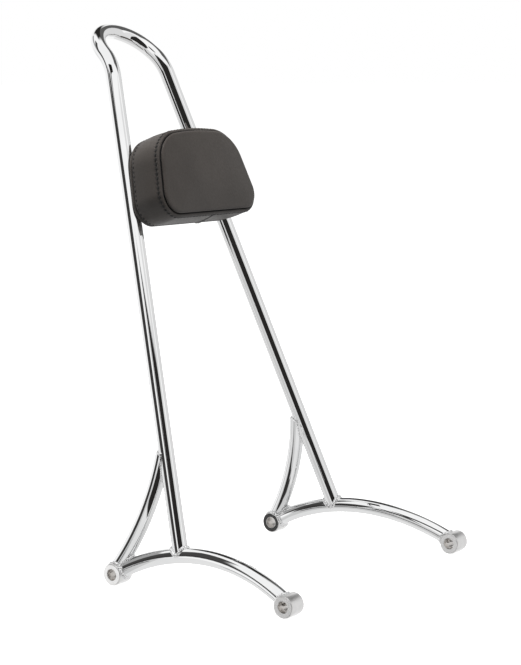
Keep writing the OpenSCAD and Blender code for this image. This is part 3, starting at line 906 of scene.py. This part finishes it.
# Builds the bead's mesh from its sections, and notes how far along the seam each one lies
def beadMesh(name, sections, closed, seed, ripple=weld["rippleHeight"]):
    rows, columns = len(sections[0]), len(sections)
    points = [tuple(p) for section in sections for p in section]
    faces = []
    for j in range(columns if closed else columns - 1):
        here, there = j * rows, (j + 1) % columns * rows
        for k in range(rows):
            faces.append((here + k, here + (k + 1) % rows, there + (k + 1) % rows, there + k))
    if not closed:
        faces.append(tuple(range(rows)))
        faces.append(tuple(reversed(range((columns - 1) * rows, columns * rows))))
    mesh = bpy.data.meshes.new(name)
    mesh.from_pydata(points, [], faces)
    faceOut(mesh)
    along, window, passed = [], [], 0.0
    for j, section in enumerate(sections):
        if j:
            passed += (section[rows // 2] - sections[j - 1][rows // 2]).length
        along += [passed] * rows
        window += [math.sin(math.pi * k / (rows - 2)) if k < rows - 1 else 0.0 for k in range(rows)]
    if closed:
        whole = passed + (sections[0][rows // 2] - sections[-1][rows // 2]).length
        beats = max(1, round(whole / weld["ripplePitch"]))
        along = [place * beats * weld["ripplePitch"] / whole for place in along]
    for label, values in (("along", along), ("window", window)):
        layer = mesh.attributes.new(label, "FLOAT", "POINT")
        layer.data.foreach_set("value", values)
    values = {"Pitch": weld["ripplePitch"], "Height": ripple, "Seed": float(seed),
              "Finish": finishes["chromeWeld"]}
    return grow(name, mesh, rippleTree, values)


def endSections(run, hosts, limit, toe):
    first = squareTo(Vector((0.3, 0.2, 1)), run["way"])
    second = run["way"].cross(first)
    sections = []
    for j in range(weld["columns"]):
        a = 2 * math.pi * j / weld["columns"]
        start = run["start"] + tube["radius"] * (math.cos(a) * first + math.sin(a) * second)
        distance = wayOut(run, hosts, start, limit)
        seat = run["slide"](start, distance)
        centre = run["slide"](run["start"], distance)
        out = (seat - centre).normalized()
        up = (run["slide"](seat, 0.0001) - seat).normalized()
        host = max(hosts, key=lambda h: h["radius"] - (seat - h["nearest"](seat)).length)
        sections.append(beadSection(seat, out, up, run, host, toe))
    return smoothSections(sections)


# Evens out the small jumps where a seam passes from one host to the next
def smoothSections(sections):
    for step in range(weld["evenings"]):
        count = len(sections)
        sections = [[0.5 * p + 0.25 * before + 0.25 * after for p, before, after
                     in zip(sections[j], sections[j - 1], sections[(j + 1) % count])] for j in range(count)]
    return sections


# Sections of the straight bead between the leg and one face of the plate, thin at both ends
def plateSections(shape, face):
    radius, half, press, count = tube["radius"], shape["plateHalf"], weld["press"], shape["columns"]
    inward = squareTo(-left, hoop["legWay"])
    outward = hoop["leanOut"] * face
    sections = []
    for j in range(count + 1):
        up = shape["low"] + (shape["high"] - shape["low"]) * j / count
        fade = min(1.0, shape["thinEnd"] + shape["fadeRate"] * min(j, count - j) / count)
        axis = hoop["foot"] + hoop["legWay"] * (up / math.cos(hoop["taper"]))
        seat = axis + inward * math.sqrt(radius ** 2 - half ** 2) + outward * half
        turn = math.asin(half / radius) + shape["toe"] * fade / radius
        upper = axis + (radius - press) * (math.cos(turn) * inward + math.sin(turn) * outward)
        lower = seat + inward * shape["toe"] * fade - outward * press
        hold = (upper + lower) / 2 + (outward + inward).normalized() * shape["bulge"] * fade
        underPlate, underTube = shape["root"]
        inside = seat - outward * underPlate - inward * underTube
        sections.append(bulgeLine(upper, hold, lower) + [inside])
    return sections


def joinPieces(name, pieces):
    shape = bmesh.new()
    for piece in pieces:
        shape.from_mesh(piece.data)
    mesh = pieces[0].data.copy()
    shape.to_mesh(mesh)
    shape.free()
    mesh.name = name
    for piece in pieces:
        bpy.data.objects.remove(piece)
    return newPiece(name, mesh)


# Each bead on the left side by the node that it stands for, and its mirror image on the right
def makeWelds():
    seed, toe = weld["seed"], weld["toe"]
    armReach, braceReach = armShape["fitted"], braceShape["fitted"]
    foot = endSections(hoop["runs"][0], [arm["host"]], hoopShape["fitted"], toe)
    top = endSections(brace["back"], [hoop["host"]], braceReach, toe)
    low = endSections(brace["run"], [rearBossHost, arm["host"]], braceReach, toe)
    rear = endSections(arm["run"], [rearBossHost], armReach, toe)
    front = endSections(arm["back"], [frontBossHost], armReach, weld["frontToe"])
    beads = {
        "foot": beadMesh("footBeadLeft", foot, True, seed),
        "brace": beadMesh("braceBeadLeft", top, True, seed + 1),
        "rear": joinPieces("rearBeadLeft", [beadMesh("lowBead", low, True, seed + 2),
                                            beadMesh("armBead", rear, True, seed + 3)]),
        "front": beadMesh("frontBeadLeft", front, True, seed + 4, weld["frontRipple"]),
        "plate": joinPieces("plateBeadLeft", [
            beadMesh("plateFront", plateSections(plateWeld, 1), False, seed + 5),
            beadMesh("plateRear", plateSections(plateWeld, -1), False, seed + 6)]),
    }
    for label, bead in beads.items():
        settle(bead, f"weld_{label}_left", finish="weld_bead")
        settle(mirrorPiece(bead, label + "BeadRight"), f"weld_{label}_right", finish="weld_bead")


makeWelds()
print("welds laid")

pad = {
    "width": 0.1545, "height": 0.092, "cornerRadius": 0.0225, "shoulderRadius": 0.0401,
    "shoulderSpan": 0.0605, "topRise": 0.00145, "band": 0.0409, "crown": 0.0065, "hem": 0.014,
    "skin": 0.0012, "edgeRoll": 0.0026,
    "up": 0.3248, "back": 0.00825, "shift": -0.0021, "turnDegrees": -1.65,  # where it sits on the hoop
    "rearSeam": 0.0046, "rearDepth": 0.0012, "bandBulge": 0.0008,
    "panelInset": 0.0036, "panelRoll": 0.005, "rollDegrees": 67.5, "lip": 0.0013,
    "stitchLevel": 0.0372, "rearStitchLevel": 0.0069, "stitchPitch": 0.005, "pinch": 0.00025,
    # Each row of pinches: where it is, its reach, and the width and depth of its painted shade
    "pinchRows": (("stitchLevel", 0.0013, 0.0017, 1.0), ("rearStitchLevel", 0.001, 0.001, 0.8)),
    "bandStart": 0.004, "bandShort": 0.0011, "fadeSpan": 0.006,  # the waves fade out at both seams
    "wave": 0.00022, "waveScales": (2.2, 60),
    "joinFront": 0.001, "joinRear": 0.0135,  # ends of the join under the pad, across from its middle
    # The last pair here is the strength and width of the painted shade along the join
    "joinDepth": 0.0012, "joinWidth": 0.0009, "joinShade": (1.4, 0.0012),
    "tabRise": 0.0024, "tabWidth": 0.0042, "tabHeight": 0.013,
    "lapRise": 0.0005, "lapWidth": 0.004,  # the cover laps over itself on one side of the join
    "columns": 400, "outlineSteps": 1440,
    "liningTop": 0.0053,  # the inside's highest point, over the band
    "joinShare": 0.3, "joinSpan": 0.0075,  # columns lie closer together this far from the join
}


def outlineDiscs(shape):
    shoulderX = shape["shoulderSpan"] / 2
    shoulderY = shape["height"] - shape["topRise"] - shape["shoulderRadius"]
    cornerX = shape["width"] / 2 - shape["cornerRadius"]
    topRadius = (shoulderX ** 2 + shape["topRise"] ** 2) / (2 * shape["topRise"])
    top = (0.0, shape["height"] - topRadius, topRadius)
    corner, shoulder = shape["cornerRadius"], shape["shoulderRadius"]
    sides = [(factor * x, y, r) for factor in (1, -1)
             for x, y, r in ((cornerX, corner, corner), (shoulderX, shoulderY, shoulder))]
    return top, sides, math.asin(shoulderX / topRadius)


# The pad's outline, evenly spaced from the middle of the bottom edge: (across, up, angle of the normal).
# Its columns lie closer together by the join in the band
def padOutline(shape):
    top, sides, topHalf = outlineDiscs(shape)
    dense = []
    for k in range(shape["outlineSteps"] + 1):
        a = -math.pi / 2 + 2 * math.pi * k / shape["outlineSteps"]
        disc = top
        if abs(a - math.pi / 2) >= topHalf:
            disc = max(sides, key=lambda d: d[0] * math.cos(a) + d[1] * math.sin(a) + d[2])
        dense.append((disc[0] + disc[2] * math.cos(a), disc[1] + disc[2] * math.sin(a), a))
    dense[0] = (0.0, 0.0, -math.pi / 2)
    dense[-1] = (0.0, 0.0, 3 * math.pi / 2)
    lengths = [0.0]
    for one, two in zip(dense, dense[1:]):
        lengths.append(lengths[-1] + math.hypot(two[0] - one[0], two[1] - one[1]))
    total = lengths[-1]
    joinMiddle = (shape["joinFront"] + shape["joinRear"]) / 2
    steps, place = [], 0.0
    while place < total - 1e-9:
        steps.append(place)
        fine = abs(place - joinMiddle) < shape["joinSpan"]
        place += total / shape["columns"] * (shape["joinShare"] if fine else 1.0)
    outline, index = [], 0
    for place in steps:
        while lengths[index + 1] < place:
            index += 1
        share = (place - lengths[index]) / max(lengths[index + 1] - lengths[index], 1e-12)
        one, two = dense[index], dense[index + 1]
        outline.append(tuple(a + share * (b - a) for a, b in zip(one, two)) + (place,))
    return outline, total


# Outer section, from the turned-in hem over the back edge, the rear seam, the band, the front seam and
# the rolled edge to the crown: (inset, level, share of the outline, depth of the painted shade in the
# grooves)
def padSection(shape):
    mm = 0.001
    roll = shape["edgeRoll"]
    section = [(shape["hem"], shape["skin"] / 2, 1, 0), (shape["hem"] - 0.2 * mm, 0.12 * mm, 1, 0)]
    section += [(inset * mm, 0.0, 1, 0) for inset in (13.4, 11.5, 9.5, 7.5, 5.5, 4.0)]
    section += [(roll * (1 - math.sin(a)), roll * (1 - math.cos(a)), 1, 0)
                for a in (0.0, 0.3, 0.6, 0.9, 1.2, math.pi / 2)]
    seam, depth = shape["rearSeam"], shape["rearDepth"]
    # The last value is painted shade, darkest at the bottom of the rear seam's groove
    section += [(depth * share, seam + step * mm, 1, dark) for share, step, dark in
                ((0.03, -1.3, 0), (0.22, -0.8, 0), (0.62, -0.4, 0.4), (1.0, 0.0, 1.0), (0.62, 0.35, 0.4),
                 (0.2, 0.8, 0), (0.0, 1.4, 0))]
    band = shape["band"]
    first, last = seam + 2.0 * mm, band - 5.1 * mm
    for k in range(1, 15):
        t = k / 15
        section.append((-shape["bandBulge"] * math.sin(math.pi * t), first + (last - first) * t, 1, 0))
    # The last value is painted shade over the front stitch row and in the front seam's groove
    section += [(inset * mm, band + step * mm, 1, dark) for inset, step, dark in
                ((0.02, -4.8, 0), (0.12, -4.4, 0), (0.34, -4.0, 0.3), (0.42, -3.7, 0.6), (0.32, -3.4, 0.3),
                 (0.08, -3.0, 0), (-0.06, -2.6, 0), (-0.06, -2.25, 0), (0.08, -1.9, 0), (0.34, -1.5, 0),
                 (0.8, -1.05, 0), (1.4, -0.55, 0), (2.0, -0.3, 0), (2.6, -0.35, 0.35), (3.2, -0.6, 0.95),
                 (4.0, -0.9, 1), (4.6, -0.9, 1), (4.8, -0.6, 1), (4.5, -0.1, 1), (4.0, 0.4, 0.8),
                 (3.72, 0.85, 0.3))]
    halfCrown, lip, lastTurn = 0.5 * shape["crown"], shape["lip"], math.radians(shape["rollDegrees"])
    for k in range(12):
        a = lastTurn * k / 11
        inset = shape["panelInset"] + shape["panelRoll"] * (1 - math.cos(a))
        section.append((inset, band + lip + (halfCrown - lip) * math.sin(a) / math.sin(lastTurn), 1, 0))
    inner = shape["panelInset"] + 0.8 * shape["panelRoll"]
    for share in (0.975, 0.95, 0.92, 0.88, 0.83, 0.77, 0.7, 0.62, 0.53, 0.44, 0.35, 0.26, 0.18, 0.1, 0.04):
        section.append((inner, band + halfCrown + halfCrown * (1 - share ** 2.4), share, 0))
    return section


# The cover's inside, well within the foam's space, from the crown back to the hem
def innerSection(shape):
    mm = 0.001
    section = [(inset * mm, shape["band"] + step * mm, share, 0) for inset, step, share in
               ((8.0, 5.3, 0.04), (8.0, 4.9, 0.4), (8.0, 3.6, 0.75), (8.0, 2.5, 0.93), (7.0, 1.9, 1),
                (6.3, 0.9, 1), (6.3, -0.9, 1), (5.7, -2.1, 1), (3.9, -2.3, 1), (2.3, -1.9, 1),
                (1.5, -2.6, 1), (1.5, -4.4, 1))]
    section += [(inset * mm, level * mm, 1, 0) for inset, level in
                ((0.7, 20.0), (1.3, 7.0), (2.5, 4.6), (1.6, 3.2), (2.8, 1.5))]
    section.append((shape["hem"] - 0.2 * mm, shape["skin"], 1, 0))
    return section


# The pad sits a little turned on its plate, about its own middle
def onPad(shape, x, y, level):
    turn = math.radians(shape["turnDegrees"])
    across = x * math.cos(turn) - y * math.sin(turn) + shape["shift"]
    up = x * math.sin(turn) + y * math.cos(turn) + shape["height"] / 2
    return leanPoint(across, shape["up"] + up, shape["back"] + level)


def padPoint(shape, spot, inset, level, share):
    across, up, angle, place = spot
    x = across - inset * math.cos(angle)
    y = up - inset * math.sin(angle) - shape["height"] / 2
    return onPad(shape, share * x, share * y, level)


# How high a smooth hump stands at a distance from its middle
def hump(away, reach):
    return math.exp(-(away / reach) ** 2)


# Small pulls of the real cover, inwards, with painted shade in their creases: pinches at the stitches,
# soft waves in the band, and the join across the band with its small tab under the pad
def coverPull(shape, spot, total, level):
    angle, place = spot[2:]
    pull, dark = 0.0, 0.0
    beats = round(total / shape["stitchPitch"])
    beat = 0.5 + 0.5 * math.cos(2 * math.pi * beats * place / total)
    for row, reach, wide, shadeDepth in shape["pinchRows"]:
        away = level - shape[row]
        pull += shape["pinch"] * hump(away, reach) * beat
        # Painted shade in the pinches along each stitch row
        dark += shadeDepth * hump(away, wide) * min(1.0, 1.6 * beat ** 1.5)
    bandStart, bandEnd = shape["bandStart"], shape["band"] - shape["bandShort"]
    if bandStart < level < bandEnd:
        fade = min(1.0, min(level - bandStart, bandEnd - level) / shape["fadeSpan"])
        around, rise = shape["waveScales"]
        wave = noise.noise(Vector((math.cos(angle) * around, math.sin(angle) * around, level * rise)))
        pull += shape["wave"] * wave * fade
        back = (shape["band"] - level) / (shape["band"] - bandStart)
        away = place - shape["joinFront"] - (shape["joinRear"] - shape["joinFront"]) * back
        if abs(away) > total / 2:
            away -= math.copysign(total, away)
        seam = min(1.0, fade * 4)
        pull += shape["joinDepth"] * hump(away, shape["joinWidth"]) * seam
        shadeDepth, wide = shape["joinShade"]
        # Painted shade along the join's groove
        dark += shadeDepth * hump(away, wide) * seam
        pull -= shape["tabRise"] * hump(away, shape["tabWidth"]) * hump(level, shape["tabHeight"]) * seam
        if away > 0:
            pull -= shape["lapRise"] * hump(away, shape["lapWidth"]) * fade
    return pull, dark


def makeCover(shape):
    outline, total = padOutline(shape)
    columns = len(outline)
    outer, inner = padSection(shape), innerSection(shape)
    points, creaseShade, faces = [], [], []
    for inset, level, share, dark in outer:
        for spot in outline:
            # Each point gets its painted shade: the section's groove shade plus the shade of the pinches and
            # the join
            pull, pulledShade = coverPull(shape, spot, total, level) if share == 1 else (0.0, 0.0)
            points.append(padPoint(shape, spot, inset + pull, level, share))
            creaseShade.append(min(1.0, dark + pulledShade))
    poleOuter = len(points)
    poleInner, innerFirst = poleOuter + 1, poleOuter + 2
    points += [onPad(shape, 0, 0, shape["band"] + level) for level in (shape["crown"], shape["liningTop"])]
    points += [padPoint(shape, spot, inset, level, share)
               for inset, level, share, dark in inner for spot in outline]
    creaseShade += [0.0] * (len(points) - len(creaseShade))
    starts = [ring * columns for ring in range(len(outer))]
    innerStarts = [innerFirst + ring * columns for ring in range(len(inner))]
    strips = list(zip(starts, starts[1:])) + list(zip(innerStarts, innerStarts[1:])) + [(innerStarts[-1], 0)]
    pairs = [(j, (j + 1) % columns) for j in range(columns)]
    for first, second in strips:
        faces += [(first + j, first + k, second + k, second + j) for j, k in pairs]
    for j, k in pairs:
        faces += [(starts[-1] + j, starts[-1] + k, poleOuter), (innerFirst + j, innerFirst + k, poleInner)]
    mesh = bpy.data.meshes.new("padCover")
    mesh.from_pydata([tuple(p) for p in points], [], faces)
    faceOut(mesh)
    for polygon in mesh.polygons:
        polygon.use_smooth = True
    # The painted shade is stored on the points, where the vinyl darkens its colour with it
    layer = mesh.attributes.new("creaseShade", "FLOAT", "POINT")
    layer.data.foreach_set("value", creaseShade)
    mesh.materials.append(finishes["paddedVinyl"])
    return newPiece("padCover", mesh), outline, total


padCover, padLine, padLength = makeCover(pad)


# Short rounded bars, one at each step of a path: stitches, and the staples behind
def buildBarTree():
    inputs = [
        ("Path", "NodeSocketGeometry", None),
        ("Bar Size", "NodeSocketVector", (0.001, 0.001, 0.001)),
        ("Finish", "NodeSocketMaterial", None),
    ]
    tree, source, sink = newGroup("barsOnPath", "GeometryNodeTree", inputs, [("Bars", "NodeSocketGeometry")])
    line = addNode(tree, "GeometryNodeMeshToCurve", {"Mesh": source.outputs["Path"]})
    bar = addNode(tree, "GeometryNodeMeshUVSphere", {"Segments": 8, "Rings": 6, "Radius": 0.5})
    sized = addNode(tree, "GeometryNodeTransform",
                    {"Geometry": bar.outputs["Mesh"], "Scale": source.outputs["Bar Size"]})
    outward = addNode(tree, "GeometryNodeInputNamedAttribute", {"Name": "outward"}, data_type="FLOAT_VECTOR")
    tangent = addNode(tree, "GeometryNodeInputTangent")
    turn = addNode(tree, "FunctionNodeAxesToRotation",
                   {"Primary Axis": tangent.outputs[0], "Secondary Axis": outward.outputs["Attribute"]},
                   primary_axis="X", secondary_axis="Z")
    copies = addNode(tree, "GeometryNodeInstanceOnPoints",
                     {"Points": line.outputs["Curve"], "Instance": sized.outputs["Geometry"],
                      "Rotation": turn.outputs[0]})
    endTree(tree, copies.outputs["Instances"], source, sink.inputs["Bars"])
    return tree


barTree = buildBarTree()
padRows = {
    "frontStitches": {"inset": 0.0003, "level": pad["stitchLevel"], "pitch": pad["stitchPitch"],
                      "size": (0.0038, 0.0033, 0.0017), "finish": "stitchThread", "behind": False},
    "rearStitches": {"inset": 0.0, "level": pad["rearStitchLevel"], "pitch": pad["stitchPitch"],
                     "size": (0.0028, 0.0013, 0.0009), "finish": "stitchThread", "behind": False},
    "hemStaples": {"inset": 0.0095, "level": -0.0001, "pitch": 0.018,
                   "size": (0.010, 0.0012, 0.0006), "finish": "zincPlate", "behind": True},
}


# A row follows the outline, with each bar's top outwards, or backwards where the row lies behind the pad
def makeRow(name, row, outline, total):
    points, outward = [], []
    beats = round(total / row["pitch"])
    for beat in range(beats):
        place = total * beat / beats
        index = max(k for k, spot in enumerate(outline) if spot[3] <= place + 1e-9)
        here, there = outline[index], outline[(index + 1) % len(outline)]
        share = (place - here[3]) / ((there[3] - here[3]) % total)
        turned = there[2] + (2 * math.pi if there[2] < here[2] - 1 else 0)
        angle = here[2] + share * (turned - here[2])
        spot = [here[k] + share * (there[k] - here[k]) for k in (0, 1)] + [angle, 0]
        points.append(tuple(padPoint(pad, spot, row["inset"], row["level"], 1)))
        side = math.cos(angle) * left + math.sin(angle) * hoop["leanUp"]
        outward += list(-hoop["leanOut"] if row["behind"] else side)
    mesh = bpy.data.meshes.new(name + "Path")
    count = len(points)
    mesh.from_pydata(points, [(k, (k + 1) % count) for k in range(count)], [])
    layer = mesh.attributes.new("outward", "FLOAT_VECTOR", "POINT")
    layer.data.foreach_set("vector", outward)
    return grow(name, mesh, barTree, {"Bar Size": row["size"], "Finish": finishes[row["finish"]]})


slotOf = {
    "chromePlate": "chrome", "zincPlate": "zinc", "boardPlastic": "board", "stitchThread": "cover",
}
settle(padCover, "pad_cover", "pad_foam", finish="cover")
for name, row in padRows.items():
    settle(makeRow(name, row, padLine, padLength), finish=slotOf[row["finish"]])
print("pad sewn")

mounting = {
    "pad_plate": {"name": "mountPlate", "edge": 0.0005, "finish": "chromePlate"},
    "pad_spacers": {"name": "mountSpacers", "edge": 0.0004, "finish": "zincPlate"},
    "pad_washers": {"name": "mountWashers", "edge": 0.0003, "finish": "zincPlate"},
    "pad_screws": {"name": "mountScrews", "edge": 0.0004, "finish": "zincPlate"},
    "pad_inserts": {"name": "boardInserts", "edge": 0.0003, "finish": "zincPlate", "turned": True},
    "pad_board": {"name": "padBoard", "edge": 0.0006, "finish": "boardPlastic", "turned": True},
}
breaking = {"merge": 0.000002, "flatDegrees": 1, "sharpDegrees": 40, "segments": 2}


# Where the pad's own turn takes a piece that the solids have square to the plate
def padMotion(shape):
    middle = leanPoint(0, shape["up"] + shape["height"] / 2, 0)
    turn = Matrix.Rotation(math.radians(shape["turnDegrees"]), 4, hoop["leanOut"])
    return Matrix.Translation(middle + left * shape["shift"]) @ turn @ Matrix.Translation(-middle)


# A merged copy of a solid, with its flat faces joined up and its sharp edges broken
def breakEdges(node, settings):
    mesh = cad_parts[node].data.copy()
    mesh.name = settings["name"]
    if settings.get("turned"):
        mesh.transform(padMotion(pad))
    shape = bmesh.new()
    shape.from_mesh(mesh)
    bmesh.ops.remove_doubles(shape, verts=shape.verts, dist=breaking["merge"])
    bmesh.ops.dissolve_limit(shape, angle_limit=math.radians(breaking["flatDegrees"]), verts=shape.verts,
                             edges=shape.edges)
    shape.to_mesh(mesh)
    shape.free()
    for polygon in mesh.polygons:
        polygon.use_smooth = True
    carrier = newPiece(settings["name"] + "Source", mesh)
    bevel = carrier.modifiers.new("edges", "BEVEL")
    bevel.width = settings["edge"]
    bevel.segments = breaking["segments"]
    bevel.limit_method = "ANGLE"
    bevel.angle_limit = math.radians(breaking["sharpDegrees"])
    bevel.harden_normals = True
    depsgraph = bpy.context.evaluated_depsgraph_get()
    done = bpy.data.meshes.new_from_object(carrier.evaluated_get(depsgraph), depsgraph=depsgraph)
    done.name = settings["name"]
    done.materials.clear()
    done.materials.append(finishes[settings["finish"]])
    bpy.data.objects.remove(carrier)
    return newPiece(settings["name"], done)


for node, settings in mounting.items():
    settle(breakEdges(node, settings), node, finish=slotOf[settings["finish"]])
print("mounting ready")

bpy.context.view_layer.update()
